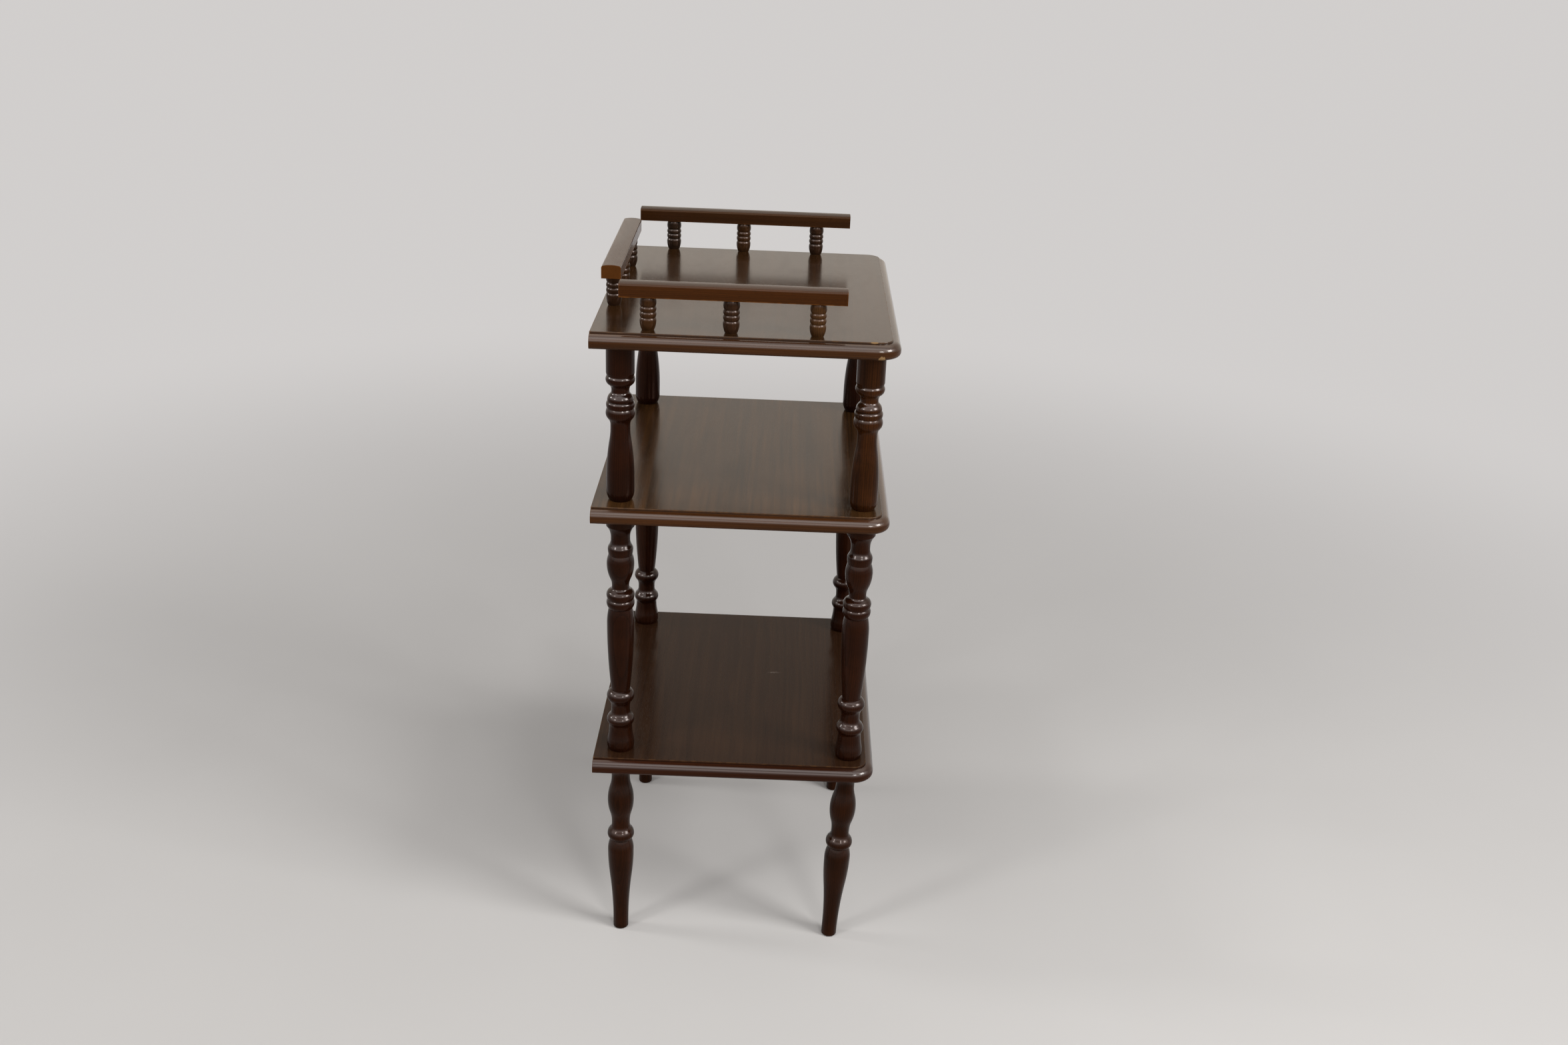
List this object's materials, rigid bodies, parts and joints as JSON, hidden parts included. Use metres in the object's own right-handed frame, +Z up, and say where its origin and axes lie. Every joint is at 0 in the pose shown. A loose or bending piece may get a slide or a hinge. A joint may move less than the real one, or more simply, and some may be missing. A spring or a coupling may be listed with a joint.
{
  "type": "etagere",
  "caption": "Tiered wooden stand: moulded shelves on turned posts and legs, with a low spindled gallery at the back and sides of the top shelf, for plants, books and ornaments.",
  "frame": {"origin": "on the floor, under the middle of the shelves", "axes": "+Z up; the front, with the rounded shelf corners, faces -Y; +X is to the right as seen from the front"},
  "size_m": [0.382, 0.305, 0.7638],
  "materials": {
    "shelf_wood": "stained, semi-gloss lacquer",
    "turned_wood": "stained, gloss lacquer",
    "rail_wood": "stained, semi-gloss lacquer",
    "screw_steel": "bright zinc",
    "dowel_wood": "bare beech"
  },
  "bodies": {
    "root": {"back_left_leg": "turned_wood", "back_left_lower_post": "turned_wood", "back_left_upper_post": "turned_wood", "back_rail": "rail_wood", "back_right_leg": "turned_wood", "back_right_lower_post": "turned_wood", "back_right_upper_post": "turned_wood", "back_spindle_left": "turned_wood", "back_spindle_middle": "turned_wood", "back_spindle_right": "turned_wood", "bottom_shelf": "shelf_wood", "bottom_shelf_dowel_screws": "screw_steel", "front_left_leg": "turned_wood", "front_left_lower_post": "turned_wood", "front_left_upper_post": "turned_wood", "front_right_leg": "turned_wood", "front_right_lower_post": "turned_wood", "front_right_upper_post": "turned_wood", "left_rail": "rail_wood", "left_spindle_back": "turned_wood", "left_spindle_front": "turned_wood", "left_spindle_middle": "turned_wood", "middle_shelf": "shelf_wood", "middle_shelf_dowel_screws": "screw_steel", "right_rail": "rail_wood", "right_spindle_back": "turned_wood", "right_spindle_front": "turned_wood", "right_spindle_middle": "turned_wood", "top_shelf": "shelf_wood", "top_shelf_dowels": "dowel_wood"}
  },
  "joints": []
}
